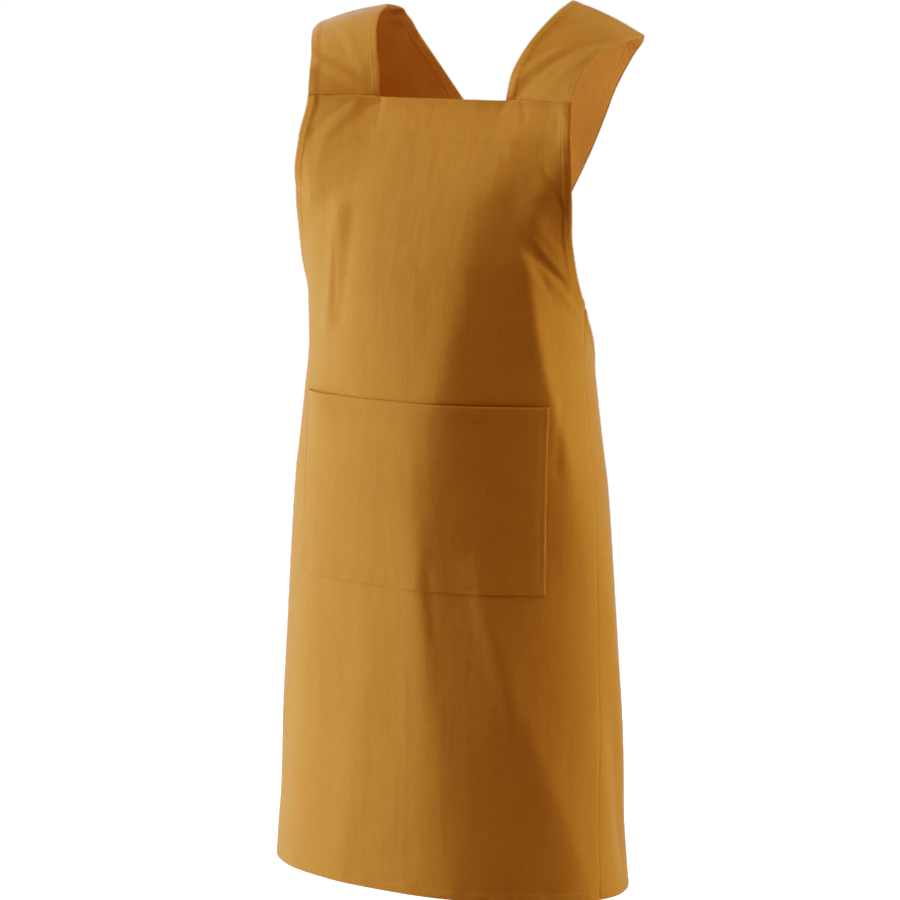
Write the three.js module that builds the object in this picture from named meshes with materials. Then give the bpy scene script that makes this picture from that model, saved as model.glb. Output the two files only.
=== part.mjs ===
// Cross back apron in cotton canvas, kept in the form that it has when it is worn.
// Millimetres. +Z is up, the bib faces -Y, the wearer's left is +X.
// The origin lies midway between the two places where the straps sit on the shoulders.
import * as THREE from 'three';

// Cloth
const clothThickness = 1.4;
const hemExtra = 0.8;
const seamGap = 0.4;

// Heights, all measured down from the shoulders
const bibTopDrop = 76;
const hemDrop = 880;
const sideSeamTopDrop = 281;
const pocketTopDrop = 376;
const backTopDrop = 352;

// Bib
const bibWidth = 302;
const neckWidth = 148;
const facingDepth = 42;
const chestFlare = 6;
const neckDip = 1.2;

// Body of the apron: widths and depths of the worn form
const hemWidth = 399;
const frontDepth = 104;
const backDepth = 98;
const bodyCentreY = -63;
const seamAngleTop = 84;
const seamAngleHem = 71;
const seamTurnDepth = 12;
const backOpening = 70;
const bottomHemDepth = 10;

// Pocket
const pocketWidth = 291;
const pocketHeight = 190;
const pocketMouthEase = 2.5;

// Straps
const strapWidth = 80;
const shoulderSpread = 293;
const shoulderHeight = 7;
const upperBackDepth = 64;
const upperBackWidth = 400;
const backSeamSpread = 172;
const strapOverlap = 16;
const strapInset = 3;

// Mesh density
const columnsPerZone = { neck: 6, corner: 6, side: 3 };
const backColumns = 9;
const backRows = 25;
const neckZoneMost = 0.6;
const sideZoneStart = 0.965;
const strapRowsFront = 13;
const strapRowsBack = 21;

// Sections of the worn form, from the top of the bib down to the hem. down is a share of the length,
// wide a share of the hem's half width, front and back are shares of the two depths.
const sections = [
  { down: 0.000, wide: 1.350, front: 0.220, back: 0.90 },
  { down: 0.050, wide: 1.250, front: 0.385, back: 0.90 },
  { down: 0.101, wide: 1.070, front: 0.567, back: 0.92 },
  { down: 0.126, wide: 0.962, front: 0.654, back: 0.93 },
  { down: 0.177, wide: 0.866, front: 0.769, back: 0.94 },
  { down: 0.201, wide: 0.837, front: 0.808, back: 0.94 },
  { down: 0.255, wide: 0.792, front: 0.837, back: 0.94 },
  { down: 0.316, wide: 0.787, front: 0.856, back: 0.95 },
  { down: 0.373, wide: 0.810, front: 0.885, back: 0.95 },
  { down: 0.434, wide: 0.842, front: 0.894, back: 0.95 },
  { down: 0.485, wide: 0.871, front: 0.894, back: 0.96 },
  { down: 0.590, wide: 0.905, front: 0.894, back: 0.98 },
  { down: 0.694, wide: 0.932, front: 0.904, back: 1.00 },
  { down: 0.799, wide: 0.960, front: 0.923, back: 1.02 },
  { down: 0.900, wide: 0.972, front: 0.962, back: 1.04 },
  { down: 1.000, wide: 1.000, front: 1.000, back: 1.06 },
];

// Bib edge: half width as a share of the bib's half width at its top
const bibEdge = [
  { down: 0.000, half: 1.000 },
  { down: 0.050, half: 1.029 },
  { down: 0.101, half: 1.049 },
  { down: 0.143, half: 1.041 },
  { down: 0.168, half: 1.034 },
  { down: 0.193, half: 1.036 },
  { down: 0.260, half: 1.040 },
];

// Armhole behind the side seam: along runs from the side seam to the back opening, fall from the
// armhole's height at the side seam down to the top of the back panel.
const armholeFall = [
  { along: 0.000, fall: 0.00 },
  { along: 0.060, fall: 0.18 },
  { along: 0.125, fall: 0.34 },
  { along: 0.190, fall: 0.49 },
  { along: 0.255, fall: 0.64 },
  { along: 0.430, fall: 0.84 },
  { along: 0.670, fall: 0.96 },
  { along: 1.000, fall: 1.00 },
];

// Long ridges that wander down the cloth. across is degrees round the body from the middle of the front,
// high a height in cloth thicknesses. before and after are the half widths on the smaller and the larger
// angle's side, as shares of the bib's half width. crest is how round the top is, as a share of those.
const centreRidge = [
  { down: 0.000, across: 18.0, high: 1.0, before: 0.20, after: 0.28, crest: 0.80 },
  { down: 0.040, across: 19.0, high: 2.4, before: 0.22, after: 0.30, crest: 0.60 },
  { down: 0.100, across: 20.5, high: 3.0, before: 0.24, after: 0.30, crest: 0.50 },
  { down: 0.157, across: 22.0, high: 3.2, before: 0.26, after: 0.32, crest: 0.50 },
  { down: 0.230, across: 21.5, high: 3.4, before: 0.28, after: 0.34, crest: 0.45 },
  { down: 0.293, across: 18.0, high: 4.0, before: 0.32, after: 0.34, crest: 0.30 },
  { down: 0.356, across: 14.0, high: 4.2, before: 0.34, after: 0.38, crest: 0.35 },
  { down: 0.420, across: 9.0, high: 4.6, before: 0.38, after: 0.42, crest: 0.45 },
  { down: 0.500, across: 5.5, high: 5.0, before: 0.40, after: 0.44, crest: 0.35 },
  { down: 0.573, across: 5.6, high: 5.4, before: 0.40, after: 0.38, crest: 0.15 },
  { down: 0.623, across: 6.0, high: 5.4, before: 0.40, after: 0.38, crest: 0.12 },
  { down: 0.700, across: 7.5, high: 5.2, before: 0.42, after: 0.36, crest: 0.20 },
  { down: 0.774, across: 9.0, high: 4.8, before: 0.42, after: 0.40, crest: 0.35 },
  { down: 0.850, across: 11.0, high: 4.4, before: 0.42, after: 0.44, crest: 0.55 },
  { down: 1.000, across: 14.0, high: 3.8, before: 0.42, after: 0.44, crest: 0.60 },
];
const bustRidge = [
  { down: 0.120, across: 29.0, high: 0.0, before: 0.35, after: 0.30, crest: 0.60 },
  { down: 0.168, across: 36.5, high: 1.2, before: 0.36, after: 0.26, crest: 0.30 },
  { down: 0.195, across: 43.0, high: 3.2, before: 0.38, after: 0.24, crest: 0.12 },
  { down: 0.217, across: 47.0, high: 4.8, before: 0.40, after: 0.25, crest: 0.08 },
  { down: 0.242, across: 50.0, high: 6.0, before: 0.42, after: 0.26, crest: 0.08 },
  { down: 0.291, across: 53.5, high: 7.0, before: 0.45, after: 0.27, crest: 0.08 },
  { down: 0.354, across: 58.0, high: 7.0, before: 0.45, after: 0.29, crest: 0.08 },
  { down: 0.403, across: 61.5, high: 5.8, before: 0.45, after: 0.30, crest: 0.10 },
  { down: 0.460, across: 65.0, high: 4.0, before: 0.45, after: 0.30, crest: 0.20 },
  { down: 0.540, across: 66.0, high: 1.8, before: 0.45, after: 0.32, crest: 0.60 },
  { down: 0.620, across: 67.0, high: 0.0, before: 0.45, after: 0.34, crest: 0.80 },
];
const skirtRidge = [
  { down: 0.540, across: 32.0, high: 0.0, before: 0.70, after: 0.34, crest: 0.80 },
  { down: 0.642, across: 32.0, high: 3.2, before: 0.70, after: 0.32, crest: 0.40 },
  { down: 0.692, across: 34.5, high: 4.0, before: 0.70, after: 0.31, crest: 0.30 },
  { down: 0.767, across: 39.0, high: 4.2, before: 0.70, after: 0.30, crest: 0.30 },
  { down: 0.856, across: 50.0, high: 3.6, before: 0.70, after: 0.28, crest: 0.30 },
  { down: 0.959, across: 62.5, high: 2.2, before: 0.70, after: 0.26, crest: 0.20 },
  { down: 1.000, across: 66.0, high: 1.8, before: 0.70, after: 0.26, crest: 0.20 },
];

// Shorter folds and soft dents. Each runs from one place to another, across and down as above. high is
// its height in cloth thicknesses (a dent is negative), broad its half width as a share of the bib's half
// width, and keen how sharp its crest is, from 0 to 1.
const folds = [
  { across0: -24, down0: 0.026, across1: -38, down1: 0.104, high: 0.7, broad: 0.080, keen: 0.4 },
  { across0: -26, down0: 0.110, across1: -50, down1: 0.160, high: -0.6, broad: 0.080, keen: 0.0 },
  { across0: -31, down0: 0.150, across1: -42, down1: 0.270, high: 1.4, broad: 0.070, keen: 0.4 },
  { across0: -24, down0: 0.155, across1: -33, down1: 0.265, high: -0.8, broad: 0.070, keen: 0.2 },
  { across0: -48, down0: 0.015, across1: -52, down1: 0.110, high: -1.2, broad: 0.070, keen: 0.0 },
  { across0: 36, down0: 0.020, across1: 41, down1: 0.120, high: 1.4, broad: 0.150, keen: 0.0 },
  { across0: 44, down0: 0.150, across1: 62, down1: 0.198, high: 1.0, broad: 0.070, keen: 0.3 },
  { across0: 26, down0: 0.600, across1: 35, down1: 0.740, high: 1.1, broad: 0.090, keen: 0.2 },
  { across0: -14, down0: 0.700, across1: -22, down1: 1.000, high: 0.8, broad: 0.150, keen: 0.0 },
  { across0: -40, down0: 0.420, across1: -46, down1: 1.000, high: 0.7, broad: 0.200, keen: 0.0 },
  { across0: 92, down0: 0.660, across1: 96, down1: 0.840, high: 1.6, broad: 0.200, keen: 0.0 },
  { across0: 88, down0: 0.820, across1: 92, down1: 0.920, high: -3.0, broad: 0.180, keen: 0.0 },
  { across0: 122, down0: 0.500, across1: 128, down1: 1.000, high: 4.0, broad: 0.170, keen: 0.0 },
  { across0: 148, down0: 0.450, across1: 152, down1: 1.000, high: -3.0, broad: 0.150, keen: 0.0 },
  { across0: -118, down0: 0.480, across1: -124, down1: 1.000, high: 4.0, broad: 0.180, keen: 0.0 },
  { across0: -146, down0: 0.500, across1: -150, down1: 1.000, high: -3.0, broad: 0.150, keen: 0.0 },
  { across0: -96, down0: 0.700, across1: -98, down1: 1.000, high: 3.0, broad: 0.160, keen: 0.0 },
];

// Strap over the front of the shoulder: shares of the way from the bib to the shoulder in each
// direction, the strap's width as a share, and how far its outer edge leans down and turns forward.
const strapFront = [
  { x: 0.00, y: 0.00, z: 0.00, width: 0.97, lean: 0.0, turn: -9.0 },
  { x: 0.10, y: 0.09, z: 0.27, width: 0.98, lean: 3.0, turn: -5.4 },
  { x: 0.31, y: 0.24, z: 0.53, width: 0.95, lean: 7.1, turn: -2.3 },
  { x: 0.63, y: 0.48, z: 0.77, width: 0.97, lean: 13.0, turn: -1.5 },
  { x: 0.87, y: 0.74, z: 0.92, width: 1.02, lean: 17.5, turn: -1.0 },
  { x: 1.00, y: 1.00, z: 1.00, width: 1.08, lean: 18.6, turn: 1.0 },
];

// Strap from the shoulder over the back to the opposite back panel: x and z as shares of the way,
// y as a share of the upper back's depth.
const strapBack = [
  { x: 0.000, y: 0.02, z: 0.000, width: 1.08, lean: 18.6, turn: 1.0 },
  { x: 0.040, y: 0.37, z: 0.030, width: 1.04, lean: 24.0, turn: -4.0 },
  { x: 0.120, y: 0.70, z: 0.125, width: 1.00, lean: 30.0, turn: -9.0 },
  { x: 0.235, y: 0.84, z: 0.250, width: 1.00, lean: 33.0, turn: -9.0 },
  { x: 0.430, y: 1.00, z: 0.440, width: 1.00, lean: 33.0, turn: 0.0 },
  { x: 0.632, y: 1.00, z: 0.635, width: 1.00, lean: 33.0, turn: 0.0 },
  { x: 0.830, y: 0.86, z: 0.825, width: 1.00, lean: 33.0, turn: 0.0 },
  { x: 1.000, y: 0.48, z: 1.000, width: 1.00, lean: 33.0, turn: 0.0 },
];

// Line of the upper back under both straps: down is a share of the way from the shoulder to the back
// panel's top, out a share of the upper back's depth behind the middle of the body.
const upperBack = [
  { down: 0.00, out: 0.51 },
  { down: 0.03, out: 0.70 },
  { down: 0.12, out: 0.88 },
  { down: 0.25, out: 0.96 },
  { down: 0.44, out: 1.00 },
  { down: 0.63, out: 0.98 },
  { down: 0.82, out: 0.89 },
  { down: 1.00, out: 0.745 },
];

const { degToRad: radians, lerp, smoothstep } = THREE.MathUtils;
const bodyLength = hemDrop - bibTopDrop;
const bibHalf = bibWidth / 2;
const neckHalf = neckWidth / 2;
const pocketHalf = pocketWidth / 2;
const crestFall = 1.4;
const keenCrest = 0.04;
const rowMatch = 0.001;

// Smooth reading of a table between its rows
function read(table, key, column, at) {
  const last = table.length - 1;
  if (at <= table[0][key]) return table[0][column];
  if (at >= table[last][key]) return table[last][column];
  const row = table.findIndex((r) => r[key] > at) - 1;
  const slopeAt = (i) => {
    if (i <= 0 || i >= last) return 0;
    const left = (table[i][column] - table[i - 1][column]) / (table[i][key] - table[i - 1][key]);
    const right = (table[i + 1][column] - table[i][column]) / (table[i + 1][key] - table[i][key]);
    return left * right > 0 ? (2 * left * right) / (left + right) : 0;
  };
  const span = table[row + 1][key] - table[row][key];
  const t = (at - table[row][key]) / span;
  const from = table[row][column];
  const to = table[row + 1][column];
  const rise = t * t * (3 - 2 * t);
  return from * (1 - rise) + to * rise
    + span * (slopeAt(row) * t * (1 - t) ** 2 - slopeAt(row + 1) * t * t * (1 - t));
}

// Half width and depths of the worn form at one height
function formAt(drop) {
  const down = (drop - bibTopDrop) / bodyLength;
  return {
    wide: (hemWidth / 2) * read(sections, 'down', 'wide', down),
    front: frontDepth * read(sections, 'down', 'front', down),
    back: backDepth * read(sections, 'down', 'back', down),
  };
}

// Height of the long ridges at one place of the cloth
function ridgeHeight(angle, drop, wide) {
  const down = (drop - bibTopDrop) / bodyLength;
  let height = 0;
  for (const ridge of [centreRidge, bustRidge, skirtRidge]) {
    const aside = (angle - radians(read(ridge, 'down', 'across', down))) * wide;
    const broad = bibHalf * read(ridge, 'down', aside < 0 ? 'before' : 'after', down);
    const crest = read(ridge, 'down', 'crest', down);
    const away = Math.hypot(aside / broad, crest) - crest;
    height += read(ridge, 'down', 'high', down) * clothThickness * Math.exp(-crestFall * away);
  }
  return height;
}

// Height of all folds at one place of the cloth
function foldHeight(angle, drop, wide) {
  const down = (drop - bibTopDrop) / bodyLength;
  let height = 0;
  for (const fold of folds) {
    const runAcross = radians(fold.across1 - fold.across0) * wide;
    const runDown = (fold.down1 - fold.down0) * bodyLength;
    const run = Math.hypot(runAcross, runDown);
    const across = (angle - radians(fold.across0)) * wide;
    const below = (down - fold.down0) * bodyLength;
    const along = (across * runAcross + below * runDown) / (run * run);
    const broad = fold.broad * bibHalf;
    const aside = (across * runDown - below * runAcross) / run / broad;
    const past = Math.max(0, Math.abs(along - 0.5) - 0.5) * run;
    const fade = Math.exp(-((past / (2 * broad)) ** 2));
    const round = Math.exp(-(aside ** 2));
    const sharp = Math.exp(-crestFall * (Math.hypot(aside, keenCrest) - keenCrest));
    height += fold.high * clothThickness * fade * lerp(round, sharp, fold.keen);
  }
  return height;
}

// Forward flare of the bib's upper corners, with a dip under each corner of the neckline
function cornerFlare(x, drop) {
  const out = smoothstep(Math.abs(x), neckHalf * 0.9, bibHalf);
  const fade = Math.exp(-0.5 * ((drop - bibTopDrop) / (1.1 * facingDepth)) ** 2);
  const dip = Math.exp(-(((Math.abs(x) - neckHalf) / (0.3 * neckHalf)) ** 2));
  return fade * (chestFlare * out - neckDip * dip);
}

// A place on the cloth: angle round the body from the middle of the front, and drop
function clothPoint(angle, drop) {
  const form = formAt(drop);
  const depth = Math.cos(angle) > 0 ? form.front : form.back;
  const outward = new THREE.Vector3(Math.sin(angle) / form.wide, -Math.cos(angle) / depth, 0).normalize();
  const x = form.wide * Math.sin(angle);
  const place = new THREE.Vector3(x, bodyCentreY - depth * Math.cos(angle), -drop);
  const lift = foldHeight(angle, drop, form.wide) + ridgeHeight(angle, drop, form.wide);
  place.addScaledVector(outward, lift);
  if (Math.cos(angle) > 0) place.y -= cornerFlare(x, drop);
  return place;
}

// Angle at which the front's half width, measured along the cloth, reaches a length
function angleAtLength(length, drop) {
  const form = formAt(drop);
  const steps = 200;
  const most = Math.PI * 0.6;
  let run = 0;
  for (let i = 0; i < steps; i += 1) {
    const middle = ((i + 0.5) * most) / steps;
    const depth = Math.cos(middle) > 0 ? form.front : form.back;
    const step = Math.hypot(form.wide * Math.cos(middle), depth * Math.sin(middle)) * (most / steps);
    if (run + step >= length) return ((i + (length - run) / step) * most) / steps;
    run += step;
  }
  return most;
}

// Angle of the side seam, which comes forward a little on its way down
function seamAngle(drop) {
  const below = Math.max(0, (drop - sideSeamTopDrop) / (hemDrop - sideSeamTopDrop));
  return radians(lerp(seamAngleTop, seamAngleHem, below));
}

// Angle of the front panel's edge: the armhole hem on the bib, the side seam on the skirt
function edgeAngle(drop) {
  const down = (drop - bibTopDrop) / bodyLength;
  const wide = formAt(drop).wide;
  const onBib = bibHalf * read(bibEdge, 'down', 'half', down);
  const atSeam = wide * Math.sin(seamAngle(drop));
  const join = smoothstep(drop, sideSeamTopDrop - seamTurnDepth, sideSeamTopDrop);
  return Math.asin(lerp(Math.min(onBib, atSeam), atSeam, join) / wide);
}

// A closed wall of cloth over a grid of places. middle[row][column] is its middle surface, wall the
// thickness at each of them, and each wall lies half to each side of the middle surface.
function clothWall(middle, wallAt) {
  const rows = middle.length;
  const columns = middle[0].length;
  const outer = [];
  const inner = [];
  for (let r = 0; r < rows; r += 1) {
    for (let c = 0; c < columns; c += 1) {
      const down = new THREE.Vector3().subVectors(
        middle[Math.min(r + 1, rows - 1)][c], middle[Math.max(r - 1, 0)][c]);
      const across = new THREE.Vector3().subVectors(
        middle[r][Math.min(c + 1, columns - 1)], middle[r][Math.max(c - 1, 0)]);
      const outward = new THREE.Vector3().crossVectors(down, across).normalize();
      const wall = wallAt(r, c);
      outer.push(middle[r][c].clone().addScaledVector(outward, clothThickness / 2));
      inner.push(middle[r][c].clone().addScaledVector(outward, clothThickness / 2 - wall));
    }
  }
  const places = outer.concat(inner);
  const shift = outer.length;
  const triangles = [];
  const quad = (a, b, c, d) => triangles.push(a, b, c, a, c, d);
  for (let r = 0; r < rows - 1; r += 1) {
    for (let c = 0; c < columns - 1; c += 1) {
      const a = r * columns + c;
      const b = a + columns;
      quad(a, b, b + 1, a + 1);
      quad(shift + a, shift + a + 1, shift + b + 1, shift + b);
    }
  }
  for (let c = 0; c < columns - 1; c += 1) {
    const top = c;
    const bottom = (rows - 1) * columns + c;
    quad(top, top + 1, shift + top + 1, shift + top);
    quad(bottom + 1, bottom, shift + bottom, shift + bottom + 1);
  }
  for (let r = 0; r < rows - 1; r += 1) {
    const left = r * columns;
    const right = left + columns - 1;
    quad(left + columns, left, shift + left, shift + left + columns);
    quad(right, right + columns, shift + right + columns, shift + right);
  }
  const geometry = new THREE.BufferGeometry();
  const values = places.flatMap((p) => [p.x, p.y, p.z]);
  geometry.setAttribute('position', new THREE.Float32BufferAttribute(values, 3));
  geometry.setIndex(triangles);
  geometry.computeVertexNormals();
  return geometry;
}

// Evenly spaced numbers from one value to another
function spread(from, to, count) {
  return Array.from({ length: count + 1 }, (_, i) => from + ((to - from) * i) / count);
}

// Lengths across the front where the mesh has its columns: neck corners and pocket sides among them
function frontColumns(drop) {
  const edge = edgeAngle(drop);
  const neck = Math.asin(neckHalf / formAt(bibTopDrop).wide);
  const pocket = angleAtLength(pocketHalf, drop);
  const neckHere = Math.min(angleAtLength(neckHalf, drop), edge * neckZoneMost);
  const corner = lerp(neck, neckHere, Math.min(1, (drop - bibTopDrop) / facingDepth));
  const side = Math.min(pocket, edge * sideZoneStart);
  const half = [
    ...spread(0, corner, columnsPerZone.neck),
    ...spread(corner, side, columnsPerZone.corner).slice(1),
    ...spread(side, edge, columnsPerZone.side).slice(1),
  ];
  return [...half.slice(1).reverse().map((angle) => -angle), ...half];
}

// A cloth surface moved along its own outward direction
function offsetPoint(angle, drop, away) {
  const turn = 0.01;
  const step = 2;
  const here = clothPoint(angle, drop);
  const across = clothPoint(angle + turn, drop).sub(clothPoint(angle - turn, drop));
  const down = clothPoint(angle, drop + step).sub(clothPoint(angle, drop - step));
  return here.addScaledVector(down.cross(across).normalize(), away);
}

const pocketBottomDrop = pocketTopDrop + pocketHeight;
const bottomHemDrop = hemDrop - bottomHemDepth;
const layer = clothThickness + seamGap;

// Heights where the front panel's mesh has its rows
const frontDrops = [
  ...spread(bibTopDrop, bibTopDrop + strapOverlap, 1),
  ...spread(bibTopDrop + strapOverlap, bibTopDrop + facingDepth, 2).slice(1),
  ...spread(bibTopDrop + facingDepth, sideSeamTopDrop, 8).slice(1),
  ...spread(sideSeamTopDrop, pocketTopDrop, 7).slice(1),
  ...spread(pocketTopDrop, pocketBottomDrop, 10).slice(1),
  ...spread(pocketBottomDrop, bottomHemDrop, 14).slice(1),
  ...spread(bottomHemDrop, hemDrop, 1).slice(1),
];

function frontPanel() {
  const middle = frontDrops.map((drop) => frontColumns(drop).map((angle) => clothPoint(angle, drop)));
  const last = middle[0].length - 1;
  const wall = (row, column) => {
    const drop = frontDrops[row];
    const atHem = drop >= bottomHemDrop;
    const atArmhole = drop > bibTopDrop + facingDepth + 1 && drop < sideSeamTopDrop - 1
      && (column <= 1 || column >= last - 1);
    return clothThickness + (atHem || atArmhole ? hemExtra : 0);
  };
  return clothWall(middle, wall);
}

// The facing lies behind the strap ends, which lie behind the bib
function bibFacing() {
  const drops = frontDrops.filter((drop) => drop <= bibTopDrop + facingDepth + rowMatch);
  const middle = drops.map((drop) => {
    const columns = frontColumns(drop);
    const inset = strapInset / formAt(drop).wide;
    columns[0] += inset;
    columns[columns.length - 1] -= inset;
    return columns.map((angle) => offsetPoint(angle, drop, -2 * layer - seamGap / 2));
  });
  return clothWall(middle, () => clothThickness);
}

// The pocket stands off a little at its mouth, between its stitched sides
function patchPocket() {
  const inPocket = (drop) => drop >= pocketTopDrop - rowMatch && drop <= pocketBottomDrop + rowMatch;
  const drops = frontDrops.filter(inPocket);
  const first = columnsPerZone.side;
  const middle = drops.map((drop) => {
    const mouth = Math.exp(-(((drop - pocketTopDrop) / (0.2 * pocketHeight)) ** 2));
    const columns = frontColumns(drop);
    return columns.slice(first, columns.length - first).map((angle, i, all) => {
      const side = (2 * i) / (all.length - 1) - 1;
      return offsetPoint(angle, drop, layer + pocketMouthEase * mouth * (1 - side ** 4));
    });
  });
  return clothWall(middle, () => clothThickness);
}

// The back panel runs from the side seam round to the back opening
function backPanel(side) {
  const middle = [];
  for (let r = 0; r <= backRows; r += 1) {
    const line = [];
    for (let c = 0; c <= backColumns; c += 1) {
      const along = c / backColumns;
      const top = lerp(sideSeamTopDrop, backTopDrop, read(armholeFall, 'along', 'fall', along));
      const share = r === backRows ? 1 : (r / (backRows - 1)) * ((bottomHemDrop - top) / (hemDrop - top));
      const drop = lerp(top, hemDrop, share);
      const wide = formAt(drop).wide;
      const start = seamAngle(drop) + layer / wide;
      const end = Math.PI - Math.asin(backOpening / 2 / wide);
      line.push(clothPoint(side * lerp(start, end, along), drop));
    }
    middle.push(side > 0 ? line : line.reverse());
  }
  return clothWall(middle, (row) => clothThickness + (row >= backRows - 1 ? hemExtra : 0));
}

// Smooth reading of a strap table, whose rows stand at 0, 1, 2 and so on
function readStation(table, column, at) {
  return read(table.map((row, n) => ({ n, value: row[column] })), 'n', 'value', at);
}

// Half width vector of a strap, from its middle line to its outer edge
function strapAcross(width, lean, turn) {
  const half = (strapWidth / 2) * width;
  return new THREE.Vector3(
    half * Math.cos(radians(lean)) * Math.cos(radians(turn)),
    half * Math.sin(radians(turn)),
    -half * Math.sin(radians(lean)) * Math.cos(radians(turn)));
}

// A strap: behind the bib, over the shoulder, over the back, into the other back panel's top. Its
// places are worked out for the left side, and side turns them over to the right one. over is how far
// it is lifted where the straps cross.
function strapRows(side, over) {
  const behindCloth = (angle, drop, room) => {
    const place = offsetPoint(side * angle, drop, -clothThickness - room);
    place.x *= side;
    return place;
  };
  const rows = [];
  for (const drop of [bibTopDrop + strapOverlap, bibTopDrop]) {
    const { neck, corner: first, side: last } = columnsPerZone;
    const corner = frontColumns(drop).slice(2 * neck + first + last);
    corner[corner.length - 1] -= strapInset / formAt(drop).wide;
    rows.push(corner.map((angle) => behindCloth(angle, drop, seamGap)));
  }
  const seamRow = rows[1];
  const seamWide = seamRow[seamRow.length - 1].x - seamRow[0].x;
  const shares = seamRow.map((place) => (2 * (place.x - seamRow[0].x)) / seamWide - 1);
  const seam = seamRow[0].clone().lerp(seamRow[seamRow.length - 1], 0.5);
  const shoulder = new THREE.Vector3(shoulderSpread / 2, 0, shoulderHeight);
  for (let i = 1; i <= strapRowsFront; i += 1) {
    const at = (i / strapRowsFront) * (strapFront.length - 1);
    const station = (column) => readStation(strapFront, column, at);
    const middle = new THREE.Vector3(
      lerp(seam.x, shoulder.x, station('x')),
      lerp(seam.y, shoulder.y, station('y')),
      lerp(seam.z, shoulder.z, station('z')));
    const across = strapAcross(station('width'), station('lean'), station('turn'));
    rows.push(shares.map((share) => middle.clone().addScaledVector(across, share)));
  }
  const endDrop = backTopDrop + strapOverlap;
  const backEnd = new THREE.Vector3(-backSeamSpread / 2, 0, -endDrop);
  const behindBack = (place) => {
    const angle = Math.PI - Math.asin(Math.abs(place.x) / formAt(-place.z).wide);
    return behindCloth(place.x < 0 ? -angle : angle, -place.z, 2 * seamGap);
  };
  for (let i = 1; i <= strapRowsBack; i += 1) {
    const at = (i / strapRowsBack) * (strapBack.length - 1);
    const station = (column) => readStation(strapBack, column, at);
    const middle = new THREE.Vector3(
      lerp(shoulder.x, backEnd.x, station('x')),
      upperBackDepth * station('y'),
      lerp(shoulder.z, backEnd.z, station('z')));
    const across = strapAcross(station('width'), station('lean'), station('turn'));
    rows.push(shares.map((share) => {
      const place = middle.clone().addScaledVector(across, share);
      const down = (shoulder.z - place.z) / (shoulder.z - backEnd.z);
      const wide = lerp(upperBackWidth / 2, formAt(backTopDrop).wide, Math.min(1, down));
      const round = Math.sqrt(Math.max(0.04, 1 - (place.x / wide) ** 2));
      const depth = (upperBackDepth - bodyCentreY) * read(upperBack, 'down', 'out', down);
      const onBack = bodyCentreY + depth * round;
      place.y = lerp(place.y, onBack, smoothstep(at, 0.5, 2.5));
      const seated = smoothstep(-place.z, backTopDrop - strapWidth, backTopDrop - 0.4 * strapWidth)
        * smoothstep(Math.abs(place.x), 0.1 * strapWidth, 0.4 * strapWidth);
      if (seated > 0) place.lerp(behindBack(place), seated);
      place.y += over * (1 - seated) * Math.exp(-((place.x / (0.9 * strapWidth)) ** 4));
      return place;
    }));
  }
  return rows;
}

function strap(side, over) {
  const rows = strapRows(side, over).map((row) => {
    const line = row.map((place) => new THREE.Vector3(side * place.x, place.y, place.z));
    return side > 0 ? line.reverse() : line;
  });
  return clothWall(rows, () => clothThickness);
}

const group = new THREE.Group();

function addPiece(name, geometry) {
  const cotton = new THREE.MeshStandardMaterial({ color: 0xb87716, roughness: 0.9, metalness: 0 });
  const piece = new THREE.Mesh(geometry, cotton);
  piece.name = name;
  group.add(piece);
}

addPiece('front_panel', frontPanel());
addPiece('bib_facing', bibFacing());
addPiece('pocket', patchPocket());
addPiece('strap_left', strap(1, 2.6 * layer));
addPiece('strap_right', strap(-1, 0));
addPiece('back_panel_left', backPanel(1));
addPiece('back_panel_right', backPanel(-1));

export default group;
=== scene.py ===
import math

import bpy
import numpy as np
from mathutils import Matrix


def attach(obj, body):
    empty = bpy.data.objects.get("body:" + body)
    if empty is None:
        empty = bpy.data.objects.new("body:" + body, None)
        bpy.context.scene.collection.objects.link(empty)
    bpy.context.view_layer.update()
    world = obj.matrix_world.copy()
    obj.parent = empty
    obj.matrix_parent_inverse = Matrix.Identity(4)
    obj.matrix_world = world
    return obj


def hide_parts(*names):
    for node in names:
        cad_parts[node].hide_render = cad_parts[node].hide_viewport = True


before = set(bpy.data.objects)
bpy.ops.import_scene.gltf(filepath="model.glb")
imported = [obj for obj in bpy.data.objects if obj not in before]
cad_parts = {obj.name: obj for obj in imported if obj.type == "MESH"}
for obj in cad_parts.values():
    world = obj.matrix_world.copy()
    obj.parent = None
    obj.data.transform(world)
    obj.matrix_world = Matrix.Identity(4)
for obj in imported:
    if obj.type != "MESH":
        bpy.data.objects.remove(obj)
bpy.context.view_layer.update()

# Camera
# It stands a little to the wearer's left of the front, at chest height, and looks slightly down.
view_azimuth = math.radians(28.0)
view_pitch = math.radians(8.72)
camera_distance = 3.763
camera_height = 0.1316
camera_aside = -0.0292
lens_length = 146.0
back_of_view = (math.sin(view_azimuth), -math.cos(view_azimuth))
right_of_view = (math.cos(view_azimuth), math.sin(view_azimuth))
camera_place = (
    camera_distance * back_of_view[0] + camera_aside * right_of_view[0],
    camera_distance * back_of_view[1] + camera_aside * right_of_view[1],
    camera_height,
)
bpy.ops.object.camera_add(location=camera_place, rotation=(math.pi / 2 - view_pitch, 0.0, view_azimuth))
camera = bpy.context.object
camera.data.lens = lens_length
camera.data.sensor_width = 36.0
camera.data.clip_end = 60.0
bpy.context.scene.camera = camera

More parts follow.
